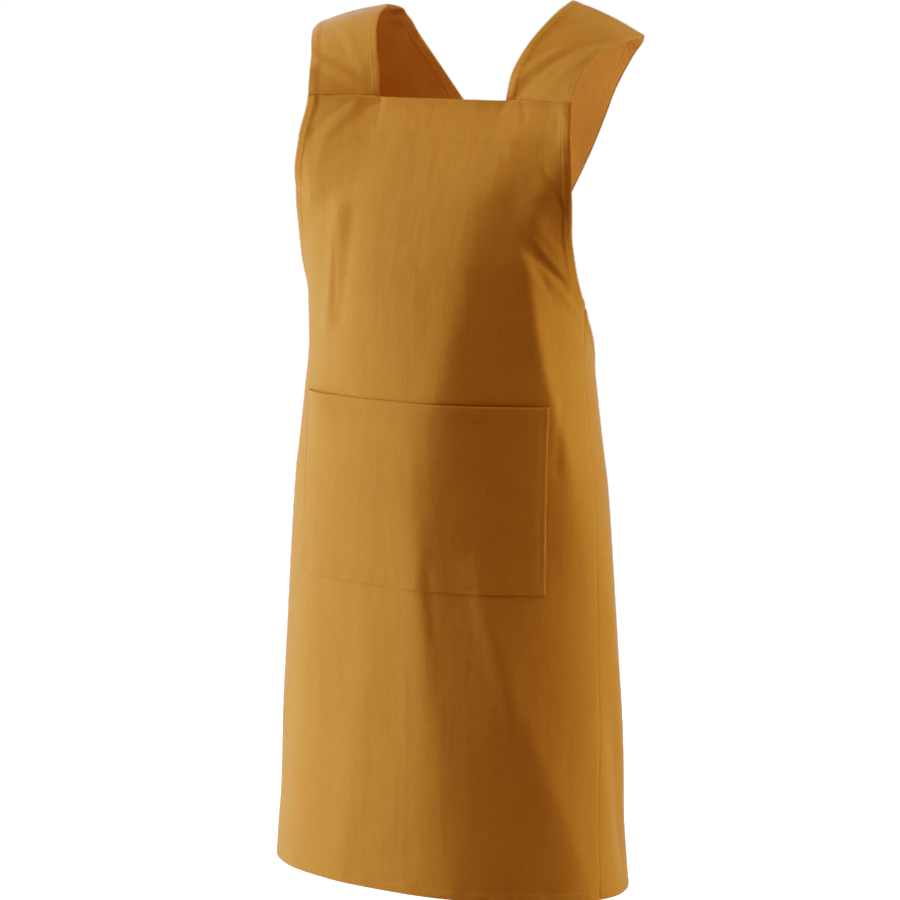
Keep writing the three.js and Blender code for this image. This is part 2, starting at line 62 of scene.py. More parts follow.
# Floor and light
# A plain white floor runs back as far as the view reaches. A long soft light stands at each side of the
# view, so the cloth is bright at both sides and darker along its middle. Weaker ones stand in front, at
# the back and above, and a tone curve deepens the folds and holds back the brightest cloth.
floor_below = 1.45
floor_grey = 0.55
light_all_round = 0.078
light_aim_below = 0.45
tone_curve = (
    (0.01, 0.002), (0.03, 0.0125), (0.06, 0.040), (0.10, 0.086), (0.15, 0.155), (0.20, 0.218),
    (0.27, 0.295), (0.36, 0.385), (0.50, 0.500), (0.65, 0.590), (0.85, 0.680),
)
bpy.ops.mesh.primitive_plane_add(size=120.0, location=(0.0, 0.0, -floor_below))
floor = bpy.context.object
floor.name = "floor"
floor_paint = bpy.data.materials.new("white floor")
floor_paint.use_nodes = True
floor_nodes, floor_links = floor_paint.node_tree.nodes, floor_paint.node_tree.links
floor_shader = floor_nodes["Principled BSDF"]
floor_shader.inputs["Base Color"].default_value = (floor_grey, floor_grey, floor_grey, 1.0)
floor_shader.inputs["Roughness"].default_value = 0.9
floor_shader.inputs["Emission Color"].default_value = (1.0, 1.0, 1.0, 1.0)
floor_seen = floor_nodes.new("ShaderNodeLightPath")
floor_links.new(floor_seen.outputs["Is Camera Ray"], floor_shader.inputs["Emission Strength"])
floor.data.materials.append(floor_paint)

world = bpy.data.worlds.new("studio")
bpy.context.scene.world = world
world.use_nodes = True
world_nodes, world_links = world.node_tree.nodes, world.node_tree.links
world_white = world_nodes["Background"]
world_tint = world_nodes.new("ShaderNodeMix")
world_tint.data_type = "RGBA"
world_tint.inputs["A"].default_value = (1.0, 0.98, 0.80, 1.0)
world_tint.inputs["B"].default_value = (1.0, 1.0, 1.0, 1.0)
world_seen = world_nodes.new("ShaderNodeLightPath")
world_level = world_nodes.new("ShaderNodeMapRange")
world_level.inputs["To Min"].default_value = light_all_round
world_level.inputs["To Max"].default_value = 1.0
world_links.new(world_seen.outputs["Is Camera Ray"], world_level.inputs["Value"])
world_links.new(world_seen.outputs["Is Camera Ray"], world_tint.inputs["Factor"])
world_links.new(world_tint.outputs["Result"], world_white.inputs["Color"])
world_links.new(world_level.outputs["Result"], world_white.inputs["Strength"])
view = bpy.context.scene.view_settings
view.view_transform = "Standard"
view.use_curve_mapping = True
contrast = view.curve_mapping.curves[3]
for light_in, light_out in tone_curve:
    contrast.points.new(light_in, light_out)
view.curve_mapping.update()


def add_soft_light(name, turn, distance, height, size, power, tint):
    """A soft light aimed at the middle of the apron; turn is its angle to the right of the camera"""
    angle = view_azimuth + math.radians(turn)
    place = (distance * math.sin(angle), -distance * math.cos(angle), height)
    bpy.ops.object.light_add(type="AREA", location=place)
    light = bpy.context.object
    light.name = name
    light.data.shape = "RECTANGLE"
    light.data.size = size[0]
    light.data.size_y = size[1]
    light.data.energy = power
    light.data.color = tint
    light.rotation_euler = (math.pi / 2 - math.atan2(height + light_aim_below, distance), 0.0, angle)


add_soft_light("left light", -95.0, 2.4, 0.0, (1.2, 2.6), 106.0, (1.0, 1.03, 1.35))
add_soft_light("right light", 77.0, 2.4, 0.0, (0.8, 2.4), 54.0, (1.0, 1.0, 1.2))
add_soft_light("front fill", -10.0, 3.6, 1.6, (1.6, 1.6), 2.0, (1.0, 0.95, 0.85))
add_soft_light("back fill", 180.0, 3.2, 0.8, (1.6, 1.6), 40.0, (1.0, 1.0, 1.0))
add_soft_light("top light", 60.0, 0.9, 2.6, (1.2, 1.2), 42.0, (1.0, 1.0, 1.2))

# Front panel
# The bib and the front of the skirt are one piece of mustard cotton canvas. Its armhole edges and its
# bottom edge are turned in and stitched, and it is worn, so it follows the body with soft folds.
cloth = 0.0014
bib_top_drop, hem_drop = 0.076, 0.880
bib_half, neck_half = 0.151, 0.074
hem_half, front_depth, back_depth = 0.1995, 0.104, 0.098
body_middle_y = -0.063
seam_angle_top, seam_angle_hem = math.radians(84.0), math.radians(71.0)
side_seam_top = 0.281
seam_turn_depth = 0.012
facing_depth = 0.042
corner_flare = 0.006
neck_dip = 0.20
armhole_hem, bottom_hem = 0.0105, 0.010
edge_seam, top_seam, hem_seam = 0.0035, 0.0028, 0.92 * bottom_hem
armhole_pucker, hem_pucker = 0.00022, 0.0003
wall, hem_wall = 0.0009, 0.0007
crest_fall, crest_tip = 1.4, 0.04
angle_steps = 720
body_length = hem_drop - bib_top_drop

# down, half width, front depth and back depth of the worn form, all as shares
body_sections = np.array([
    (0.000, 1.350, 0.220, 0.90), (0.050, 1.250, 0.385, 0.90), (0.101, 1.070, 0.567, 0.92),
    (0.126, 0.962, 0.654, 0.93), (0.177, 0.866, 0.769, 0.94), (0.201, 0.837, 0.808, 0.94),
    (0.255, 0.792, 0.837, 0.94), (0.316, 0.787, 0.856, 0.95), (0.373, 0.810, 0.885, 0.95),
    (0.434, 0.842, 0.894, 0.95), (0.485, 0.871, 0.894, 0.96), (0.590, 0.905, 0.894, 0.98),
    (0.694, 0.932, 0.904, 1.00), (0.799, 0.960, 0.923, 1.02), (0.900, 0.972, 0.962, 1.04),
    (1.000, 1.000, 1.000, 1.06),
])
# down and half width of the bib's edge, as shares
bib_edge = np.array([
    (0.000, 1.000), (0.050, 1.029), (0.101, 1.049), (0.143, 1.041), (0.168, 1.034), (0.193, 1.036),
    (0.260, 1.040),
])
# Long ridges that wander down the cloth: share of the length, degrees round the body, height in cloth
# thicknesses, half widths on the smaller and the larger angle's side as shares of the bib's half width,
# and roundness of the crest as a share of the half width
centre_ridge = np.array([
    (0.000, 18.0, 1.0, 0.20, 0.28, 0.80), (0.040, 19.0, 3.0, 0.27, 0.30, 0.60),
    (0.100, 20.5, 3.8, 0.31, 0.30, 0.50), (0.157, 22.0, 3.6, 0.30, 0.32, 0.50),
    (0.230, 21.5, 3.4, 0.28, 0.34, 0.45), (0.293, 18.0, 4.0, 0.32, 0.34, 0.30),
    (0.356, 14.0, 4.2, 0.34, 0.38, 0.35), (0.420, 9.0, 4.6, 0.38, 0.42, 0.45),
    (0.500, 5.5, 5.0, 0.40, 0.44, 0.35), (0.573, 5.6, 5.4, 0.40, 0.38, 0.15),
    (0.623, 6.0, 5.4, 0.40, 0.38, 0.12), (0.700, 7.5, 5.2, 0.42, 0.36, 0.20),
    (0.774, 9.0, 4.8, 0.42, 0.40, 0.35), (0.850, 11.0, 4.4, 0.42, 0.44, 0.55),
    (1.000, 14.0, 3.8, 0.42, 0.44, 0.60),
])
bust_ridge = np.array([
    (0.120, 29.0, 0.0, 0.35, 0.30, 0.60), (0.168, 36.5, 1.2, 0.36, 0.26, 0.30),
    (0.195, 43.0, 3.2, 0.38, 0.24, 0.12), (0.217, 47.0, 4.8, 0.40, 0.25, 0.08),
    (0.242, 50.0, 6.0, 0.42, 0.26, 0.08), (0.291, 53.5, 7.0, 0.45, 0.27, 0.08),
    (0.354, 58.0, 7.0, 0.45, 0.29, 0.08),
    (0.403, 61.5, 5.8, 0.45, 0.30, 0.10), (0.460, 65.0, 4.0, 0.45, 0.30, 0.20),
    (0.540, 66.0, 1.8, 0.45, 0.32, 0.60), (0.620, 67.0, 0.0, 0.45, 0.34, 0.80),
])
skirt_ridge = np.array([
    (0.540, 32.0, 0.0, 0.70, 0.34, 0.80), (0.642, 32.0, 3.2, 0.70, 0.32, 0.40),
    (0.692, 34.5, 4.0, 0.70, 0.31, 0.30), (0.767, 39.0, 4.2, 0.70, 0.30, 0.30),
    (0.856, 50.0, 3.6, 0.70, 0.28, 0.30), (0.959, 62.5, 2.2, 0.70, 0.26, 0.20),
    (1.000, 66.0, 1.8, 0.70, 0.26, 0.20),
])
# Main folds: from and to in degrees round the body and share of the length, height in cloth thicknesses,
# half width as a share of the bib's half width, and keenness of the crest from 0 to 1
main_folds = [
    (-24, 0.026, -38, 0.104, 0.7, 0.080, 0.4), (-26, 0.110, -50, 0.160, -0.6, 0.080, 0.0),
    (-31, 0.150, -42, 0.270, 1.4, 0.070, 0.4), (-24, 0.155, -33, 0.265, -0.8, 0.070, 0.2),
    (-48, 0.015, -52, 0.110, -1.2, 0.070, 0.0), (36, 0.020, 41, 0.120, 1.4, 0.150, 0.0),
    (44, 0.150, 62, 0.198, 1.0, 0.070, 0.3), (-14, 0.700, -22, 1.000, 0.8, 0.150, 0.0),
    (-40, 0.420, -46, 1.000, 0.7, 0.200, 0.0), (26, 0.600, 35, 0.740, 1.1, 0.090, 0.2),
    (92, 0.660, 96, 0.840, 1.6, 0.200, 0.0), (88, 0.820, 92, 0.920, -3.0, 0.180, 0.0),
    (122, 0.500, 128, 1.000, 4.0, 0.170, 0.0), (148, 0.450, 152, 1.000, -3.0, 0.150, 0.0),
    (-118, 0.480, -124, 1.000, 4.0, 0.180, 0.0), (-146, 0.500, -150, 1.000, -3.0, 0.150, 0.0),
    (-96, 0.700, -98, 1.000, 3.0, 0.160, 0.0),
]
# Finer creases, in the same columns
fine_folds = [
    (1.5, 0.060, 3.5, 0.372, 0.08, 0.014, 0.6), (1.0, 0.614, 1.2, 1.000, 0.12, 0.014, 0.6),
    (-14.6, 0.002, -15, 0.028, -0.5, 0.016, 0.8), (17, 0.000, 15, 0.016, -0.4, 0.018, 0.8),
    (20, 0.000, 22.5, 0.022, -0.4, 0.016, 0.8), (-16, 0.010, -27, 0.050, -0.5, 0.036, 0.5),
    (-24, 0.012, -33, 0.046, -0.5, 0.030, 0.5),
    (31, 0.006, 39, 0.048, 0.5, 0.030, 0.6), (35, 0.083, 53, 0.132, -0.8, 0.026, 0.8),
    (38, 0.172, 51, 0.222, 0.4, 0.020, 0.8), (49, 0.200, 60, 0.242, -0.4, 0.022, 0.5),
    (46, 0.186, 65, 0.221, -1.0, 0.020, 0.8), (45, 0.167, 69, 0.228, 0.8, 0.026, 0.6),
    (57, 0.217, 77, 0.260, 0.5, 0.024, 0.5), (69, 0.258, 77, 0.274, -0.4, 0.016, 0.6),
    (52, 0.162, 60, 0.179, -0.4, 0.014, 0.7),
    (-33, 0.110, -47, 0.128, 0.4, 0.030, 0.5), (-33, 0.172, -37, 0.250, -0.6, 0.036, 0.5),
    (-38, 0.085, -44, 0.125, 0.5, 0.030, 0.6), (-47, 0.098, -50, 0.120, -0.4, 0.020, 0.6),
    (9, 0.590, 11, 0.660, -0.4, 0.040, 0.4), (64, 0.372, 59, 0.445, -0.8, 0.040, 0.6),
]


def read(table, column, at):
    """Smooth reading of a table's column between its rows"""
    keys, values = table[:, 0], table[:, column]
    slopes = np.zeros(len(keys))
    steps = np.diff(values) / np.diff(keys)
    both = steps[:-1] * steps[1:] > 0
    sums = np.where(both, steps[:-1] + steps[1:], 1.0)
    slopes[1:-1] = np.where(both, 2.0 * steps[:-1] * steps[1:] / sums, 0.0)
    at = np.clip(at, keys[0], keys[-1])
    row = np.clip(np.searchsorted(keys, at, side="right") - 1, 0, len(keys) - 2)
    span = keys[row + 1] - keys[row]
    t = (at - keys[row]) / span
    rise = t * t * (3.0 - 2.0 * t)
    bend = slopes[row] * t * (1.0 - t) ** 2 - slopes[row + 1] * t * t * (1.0 - t)
    return values[row] * (1.0 - rise) + values[row + 1] * rise + span * bend


def smooth(value, low, high):
    """0 below low, 1 above high, and an even rise between them"""
    t = np.clip((value - low) / (high - low), 0.0, 1.0)
    return t * t * (3.0 - 2.0 * t)


def form_at(drop):
    """Half width, front depth and back depth of the worn form at a height"""
    down = (drop - bib_top_drop) / body_length
    return (hem_half * read(body_sections, 1, down), front_depth * read(body_sections, 2, down),
            back_depth * read(body_sections, 3, down))


def crest_shape(aside, keen):
    """Height across a fold, by the distance from its crest in half widths, round or keen"""
    round_crest = np.exp(-aside ** 2)
    keen_crest = np.exp(-crest_fall * (np.hypot(aside, crest_tip) - crest_tip))
    return round_crest + (keen_crest - round_crest) * keen


def fold_height(angle, drop, wide, table):
    """Height of all folds of a table at places of the cloth"""
    down = (drop - bib_top_drop) / body_length
    height = np.zeros(np.broadcast(angle, drop).shape)
    for across0, down0, across1, down1, high, share, keen in table:
        run_across = math.radians(across1 - across0) * wide
        run_down = (down1 - down0) * body_length
        run = np.hypot(run_across, run_down)
        across = (angle - math.radians(across0)) * wide
        below = (down - down0) * body_length
        along = (across * run_across + below * run_down) / run ** 2
        aside = (across * run_down - below * run_across) / run
        past = np.maximum(0.0, np.abs(along - 0.5) - 0.5) * run
        broad = share * bib_half
        height += high * cloth * crest_shape(aside / broad, keen) * np.exp(-(past / (2.0 * broad)) ** 2)
    return height


def ridge_height(angle, drop, wide):
    """Height of the long ridges at places of the cloth"""
    down = (drop - bib_top_drop) / body_length
    height = 0.0
    for ridge in (centre_ridge, bust_ridge, skirt_ridge):
        aside = (angle - np.radians(read(ridge, 1, down))) * wide
        aside = aside / (bib_half * np.where(aside < 0.0, read(ridge, 3, down), read(ridge, 4, down)))
        crest = read(ridge, 5, down)
        fall = np.exp(-crest_fall * (np.hypot(aside, crest) - crest))
        height = height + cloth * read(ridge, 2, down) * fall
    return height


def body_place(angle, drop):
    """Places on the worn cloth: angle round the body from the middle of the front, and drop"""
    wide, front, back = form_at(drop)
    depth = np.where(np.cos(angle) > 0, front, back)
    x = wide * np.sin(angle)
    y = body_middle_y - depth * np.cos(angle)
    out_x, out_y = np.sin(angle) / wide, -np.cos(angle) / depth
    size = np.hypot(out_x, out_y)
    lift = fold_height(angle, drop, wide, main_folds) + fold_height(angle, drop, wide, fine_folds)
    lift = lift + ridge_height(angle, drop, wide)
    out = smooth(np.abs(x), 0.9 * neck_half, bib_half)
    fade = np.exp(-0.5 * ((drop - bib_top_drop) / (1.1 * facing_depth)) ** 2)
    dip = np.exp(-((np.abs(x) - neck_half) / (0.3 * neck_half)) ** 2)
    flare = np.where(np.cos(angle) > 0, corner_flare * fade * (out - neck_dip * dip), 0.0)
    return np.stack([x + lift * out_x / size, y + lift * out_y / size - flare, -drop + 0.0 * x], -1)


def seam_angle(drop):
    """Angle of the side seam, which comes forward a little on its way down"""
    below = np.maximum(0.0, (drop - side_seam_top) / (hem_drop - side_seam_top))
    return seam_angle_top + (seam_angle_hem - seam_angle_top) * below


def edge_angle(drop):
    """Angle of the front panel's edge: the armhole hem on the bib, the side seam on the skirt"""
    down = (drop - bib_top_drop) / body_length
    wide = form_at(drop)[0]
    at_seam = wide * np.sin(seam_angle(drop))
    on_bib = np.minimum(bib_half * read(bib_edge, 1, down), at_seam)
    join = smooth(drop, side_seam_top - seam_turn_depth, side_seam_top)
    return np.arcsin((on_bib + (at_seam - on_bib) * join) / wide)


def lengths_round(drop):
    """Angles from the middle of the front, and the length of cloth up to each, at one height"""
    angles = np.linspace(0.0, math.pi, angle_steps + 1)
    wide, front, back = form_at(np.array([drop]))
    depth = np.where(np.cos(angles) > 0, front, back)
    steps = np.hypot(np.diff(wide * np.sin(angles)), np.diff(depth * np.cos(angles)))
    return angles, np.concatenate([[0.0], np.cumsum(steps)])


def outward(places):
    """Outward direction of a grid of places, whose rows run down and columns to the wearer's left"""
    across, down = np.gradient(places, axis=1), np.gradient(places, axis=0)
    normal = np.cross(down, across)
    return normal / np.linalg.norm(normal, axis=-1, keepdims=True)


def cloth_wall(name, face, thickness, flat):
    """A closed wall of cloth. face is its outer side as a grid of places, thickness its wall there, and
    flat the place of each on the flat cloth, in metres, which the weave follows. Each piece has its own
    part of that cloth."""
    rows, columns = face.shape[:2]
    normal = outward(face)
    inner = face - normal * thickness[..., None]
    places = np.concatenate([face.reshape(-1, 3), inner.reshape(-1, 3)])
    grid = np.arange(rows * columns).reshape(rows, columns)
    a, b, c, d = grid[:-1, :-1], grid[1:, :-1], grid[1:, 1:], grid[:-1, 1:]
    outer_faces = np.stack([a, b, c, d], -1).reshape(-1, 4)
    shift = rows * columns
    faces = [outer_faces, outer_faces[:, ::-1] + shift]
    ring = np.concatenate([grid[0, :-1], grid[:-1, -1], grid[-1, :0:-1], grid[:0:-1, 0]])
    after = np.roll(ring, -1)
    faces.append(np.stack([ring, after, after + shift, ring + shift], -1))
    faces = np.concatenate(faces)
    mesh = bpy.data.meshes.new(name)
    mesh.from_pydata(places.tolist(), [], faces.tolist())
    flats = np.concatenate([flat.reshape(-1, 2)] * 2)
    layer = mesh.uv_layers.new(name="flat cloth")
    corners = np.empty(len(mesh.loops), dtype=np.int32)
    mesh.loops.foreach_get("vertex_index", corners)
    layer.data.foreach_set("uv", flats[corners].astype(np.float32).ravel())
    mesh.shade_smooth()
    piece = bpy.data.objects.new(name, mesh)
    bpy.context.collection.objects.link(piece)
    return piece


def make_weave():
    """Plain weave of the canvas, on the flat cloth: thread bumps, slubs along both thread directions"""
    group = bpy.data.node_groups.new("canvas weave", "ShaderNodeTree")
    group.interface.new_socket("Thread Pitch", in_out="INPUT", socket_type="NodeSocketFloat")
    group.interface.new_socket("Height", in_out="OUTPUT", socket_type="NodeSocketFloat")
    group.interface.new_socket("Slub", in_out="OUTPUT", socket_type="NodeSocketFloat")
    group.interface.new_socket("Crumple", in_out="OUTPUT", socket_type="NodeSocketFloat")
    group.interface.new_socket("Fade", in_out="OUTPUT", socket_type="NodeSocketFloat")
    nodes, links = group.nodes, group.links
    given = nodes.new("NodeGroupInput")
    result = nodes.new("NodeGroupOutput")
    flat = nodes.new("ShaderNodeUVMap")
    flat.uv_map = "flat cloth"
    split = nodes.new("ShaderNodeSeparateXYZ")
    links.new(flat.outputs["UV"], split.inputs["Vector"])

    def math_node(kind, first, second=None):
        node = nodes.new("ShaderNodeMath")
        node.operation = kind
        for socket, value in zip(node.inputs, (first, second)):
            if isinstance(value, (int, float)):
                socket.default_value = value
            elif value is not None:
                links.new(value, socket)
        return node.outputs["Value"]

    waves = []
    for axis in ("X", "Y"):
        turns = math_node("DIVIDE", split.outputs[axis], given.outputs["Thread Pitch"])
        waves.append(math_node("SINE", math_node("MULTIPLY", turns, math.pi)))
    weave = math_node("MULTIPLY", waves[0], waves[1])
    links.new(math_node("MULTIPLY_ADD", weave, 0.5), result.inputs["Height"])
    result.inputs["Height"].links[0].from_node.inputs[2].default_value = 0.5

    def streaks(stretch):
        place = nodes.new("ShaderNodeMapping")
        place.inputs["Scale"].default_value = stretch
        links.new(flat.outputs["UV"], place.inputs["Vector"])
        noise = nodes.new("ShaderNodeTexNoise")
        noise.inputs["Scale"].default_value = 1.0
        noise.inputs["Detail"].default_value = 2.0
        links.new(place.outputs["Vector"], noise.inputs["Vector"])
        return noise.outputs["Fac"]

    both = math_node("ADD", streaks((900.0, 55.0, 1.0)), streaks((55.0, 900.0, 1.0)))
    links.new(math_node("MULTIPLY", both, 0.5), result.inputs["Slub"])
    crumples = math_node("ADD", streaks((60.0, 14.0, 1.0)), streaks((26.0, 34.0, 1.0)))
    links.new(math_node("MULTIPLY", crumples, 0.5), result.inputs["Crumple"])
    links.new(streaks((14.0, 9.0, 1.0)), result.inputs["Fade"])
    return group


weave_group = make_weave()


def make_cotton(name, shade, deep):
    """Mustard cotton canvas: shade is its lighter colour and deep its darker one, mixed in streaks along its
    threads
    """
    material = bpy.data.materials.new(name)
    material.use_nodes = True
    nodes, links = material.node_tree.nodes, material.node_tree.links
    shader = nodes["Principled BSDF"]
    shader.inputs["Roughness"].default_value = 0.88
    shader.inputs["Specular IOR Level"].default_value = 0.25
    shader.inputs["Sheen Weight"].default_value = 0.32
    shader.inputs["Sheen Roughness"].default_value = 0.35
    shader.inputs["Sheen Tint"].default_value = (1.0, 0.92, 0.72, 1.0)
    weave = nodes.new("ShaderNodeGroup")
    weave.node_tree = weave_group
    weave.inputs["Thread Pitch"].default_value = 0.00062
    blend = nodes.new("ShaderNodeMix")
    blend.data_type = "RGBA"
    blend.inputs["A"].default_value = (*deep, 1.0)
    blend.inputs["B"].default_value = (*shade, 1.0)
    spread = nodes.new("ShaderNodeMapRange")
    spread.inputs["From Min"].default_value = 0.32
    spread.inputs["From Max"].default_value = 0.68
    links.new(weave.outputs["Slub"], spread.inputs["Value"])
    links.new(spread.outputs["Result"], blend.inputs["Factor"])
    fade = nodes.new("ShaderNodeMapRange")
    fade.inputs["From Min"].default_value = 0.25
    fade.inputs["From Max"].default_value = 0.75
    fade.inputs["To Min"].default_value = 0.96
    fade.inputs["To Max"].default_value = 1.04
    links.new(weave.outputs["Fade"], fade.inputs["Value"])
    tone = nodes.new("ShaderNodeVectorMath")
    tone.operation = "SCALE"
    links.new(blend.outputs["Result"], tone.inputs[0])
    links.new(fade.outputs["Result"], tone.inputs["Scale"])
    links.new(tone.outputs["Vector"], shader.inputs["Base Color"])
    height = nodes.new("ShaderNodeMath")
    height.operation = "MULTIPLY_ADD"
    height.inputs[1].default_value = 0.5
    links.new(weave.outputs["Slub"], height.inputs[0])
    links.new(weave.outputs["Height"], height.inputs[2])
    worn = nodes.new("ShaderNodeBump")
    worn.inputs["Strength"].default_value = 1.0
    worn.inputs["Distance"].default_value = 0.0012
    links.new(weave.outputs["Crumple"], worn.inputs["Height"])
    bump = nodes.new("ShaderNodeBump")
    bump.inputs["Strength"].default_value = 0.6
    bump.inputs["Distance"].default_value = 0.00018
    links.new(height.outputs["Value"], bump.inputs["Height"])
    links.new(worn.outputs["Normal"], bump.inputs["Normal"])
    links.new(bump.outputs["Normal"], shader.inputs["Normal"])
    return material


cotton = make_cotton("mustard canvas", (0.515, 0.202, 0.029), (0.450, 0.172, 0.022))


def finish_cloth(piece, node):
    """Gives a cloth piece its material, hangs it from the root and hides the part that it stands for"""
    piece.data.materials.append(cotton)
    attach(piece, "root")
    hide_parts(node)


def band_steps(total, band, step):
    """Lengths from 0 to total, close together over a turned edge at each end, and step apart between"""
    close = np.array([0.0, 0.05, 0.15, 0.35, 0.6, 0.8, 0.9, 1.0, 1.1, 1.25, 1.6]) * band
    middle = np.linspace(close[-1], total - close[-1], max(2, round((total - 2 * close[-1]) / step)) + 1)
    return np.concatenate([close[:-1], middle, total - close[-2::-1]])


def hem_profile(inside, hem):
    """How far a turned and stitched edge stands out, by the distance from the edge"""
    ply = 0.00055 * (1.0 - smooth(inside, hem, 1.12 * hem))
    groove = -0.00055 * np.exp(-((inside - 0.95 * hem) / 0.0010) ** 2)
    fold_round = -0.0005 * np.exp(-(inside / 0.0008) ** 2)
    return ply + groove + fold_round


def puckers(along, inside, hem, size):
    """Small waves that a row of stitches draws into the cloth, fading away from it"""
    wave = np.sin(along / 0.0052) * np.sin(along / 0.0233 + 1.3) + 0.5 * np.sin(along / 0.0091 + 0.4)
    return size * wave * np.exp(-((inside - 0.9 * hem) / 0.007) ** 2)


def seam_roll(inside):
    """How far the cloth rolls in at a seam, by the distance from it"""
    return -0.0003 * np.exp(-(inside / 0.0012) ** 2)


def front_angles(drops, shares):
    """Angles on the front panel for lengths of cloth from its middle, given as shares of its half"""
    angles = np.empty((len(drops), len(shares)))
    lengths = np.empty_like(angles)
    for row, drop in enumerate(drops):
        table, run = lengths_round(drop)
        half = np.interp(edge_angle(np.array([drop]))[0], table, run)
        lengths[row] = half * shares
        angles[row] = np.sign(shares) * np.interp(np.abs(lengths[row]), run, table)
    return angles, lengths


panel_row_step, panel_column_step = 0.0036, 0.0145
panel_edge_share = 0.055
panel_drops = bib_top_drop + band_steps(body_length, bottom_hem, panel_row_step)
half_shares = band_steps(2.0, panel_edge_share, panel_column_step) - 1.0
panel_angles, panel_lengths = front_angles(panel_drops, half_shares)
drop_grid = np.repeat(panel_drops[:, None], len(half_shares), 1)
panel = body_place(panel_angles, drop_grid)
normal = outward(panel)
from_edge = np.abs(panel_lengths[:, -1:]) - np.abs(panel_lengths)
on_armhole = 1.0 - smooth(drop_grid, side_seam_top - 0.004, side_seam_top + 0.002)
below_facing = smooth(drop_grid, bib_top_drop, bib_top_drop + 0.006)
lift = hem_profile(from_edge, armhole_hem) * on_armhole
lift += puckers(drop_grid, from_edge, armhole_hem, armhole_pucker) * on_armhole * below_facing
lift += seam_roll(from_edge) * (1.0 - on_armhole)
beside_facing = 1.0 - smooth(drop_grid, bib_top_drop + facing_depth, bib_top_drop + facing_depth + 0.002)
lift += 0.0006 * (1.0 - smooth(from_edge, armhole_hem, 1.1 * armhole_hem)) * beside_facing
from_hem = hem_drop - drop_grid
lift += hem_profile(from_hem, bottom_hem) + puckers(panel_lengths, from_hem, bottom_hem, hem_pucker)
facing_seam = drop_grid - bib_top_drop - facing_depth
lift += -0.0003 * np.exp(-(facing_seam / 0.0011) ** 2)
lift += 0.00012 * np.sin(panel_lengths / 0.0047 + 2.0) * np.exp(-(facing_seam / 0.006) ** 2)
panel += normal * (cloth / 2.0 + lift)[..., None]
on_hem = 1.0 - smooth(from_hem, bottom_hem, bottom_hem + 0.002)
on_edge = on_armhole * (1.0 - smooth(from_edge, 0.009, 0.010))
panel_wall = wall + hem_wall * np.maximum(on_hem, on_edge)
panel_flat = np.stack([panel_lengths, -drop_grid], -1)
front_panel = cloth_wall("front_panel_cloth", panel, panel_wall, panel_flat)
finish_cloth(front_panel, "front_panel")

thread_paint = bpy.data.materials.new("mustard thread")
thread_paint.use_nodes = True
thread_nodes, thread_links = thread_paint.node_tree.nodes, thread_paint.node_tree.links
thread_shader = thread_nodes["Principled BSDF"]
thread_shader.inputs["Roughness"].default_value = 0.6
thread_shader.inputs["Specular IOR Level"].default_value = 0.3
thread_place = thread_nodes.new("ShaderNodeTexCoord")
thread_noise = thread_nodes.new("ShaderNodeTexNoise")
thread_noise.inputs["Scale"].default_value = 700.0
thread_blend = thread_nodes.new("ShaderNodeMix")
thread_blend.data_type = "RGBA"
thread_blend.inputs["A"].default_value = (0.42, 0.165, 0.022, 1.0)
thread_blend.inputs["B"].default_value = (0.58, 0.260, 0.050, 1.0)
thread_links.new(thread_place.outputs["Object"], thread_noise.inputs["Vector"])
thread_links.new(thread_noise.outputs["Fac"], thread_blend.inputs["Factor"])
thread_links.new(thread_blend.outputs["Result"], thread_shader.inputs["Base Color"])

stitch_length, stitch_pitch, stitch_rise = 0.0023, 0.0031, 0.00006
thread_width, thread_height = 0.00048, 0.00036
bpy.ops.object.select_all(action="DESELECT")
bpy.ops.mesh.primitive_uv_sphere_add(segments=6, ring_count=4, radius=0.5, rotation=(0.0, math.pi / 2, 0.0))
one_stitch = bpy.context.object
bpy.ops.object.transform_apply(location=False, rotation=True, scale=False)
one_stitch.scale = (stitch_length, thread_width, thread_height)
bpy.ops.object.transform_apply(location=False, rotation=False, scale=True)
stitch_places = np.array([vertex.co[:] for vertex in one_stitch.data.vertices])
stitch_faces = [list(face.vertices) for face in one_stitch.data.polygons]
bpy.ops.object.delete()


def seam_line(face, measure, level, turned=False):
    """Places and outward directions along a line of a cloth's face, where measure reaches level along
    each row of the grid; turned is true for an inner side and for a grid that runs the other way"""
    rows = np.arange(len(face))
    columns = np.array([np.interp(level, measure[row], np.arange(measure.shape[1])) for row in rows])
    low = np.minimum(columns.astype(int), face.shape[1] - 2)
    part = (columns - low)[:, None]
    normal = -outward(face) if turned else outward(face)
    return (face[rows, low] * (1 - part) + face[rows, low + 1] * part,
            normal[rows, low] * (1 - part) + normal[rows, low + 1] * part)


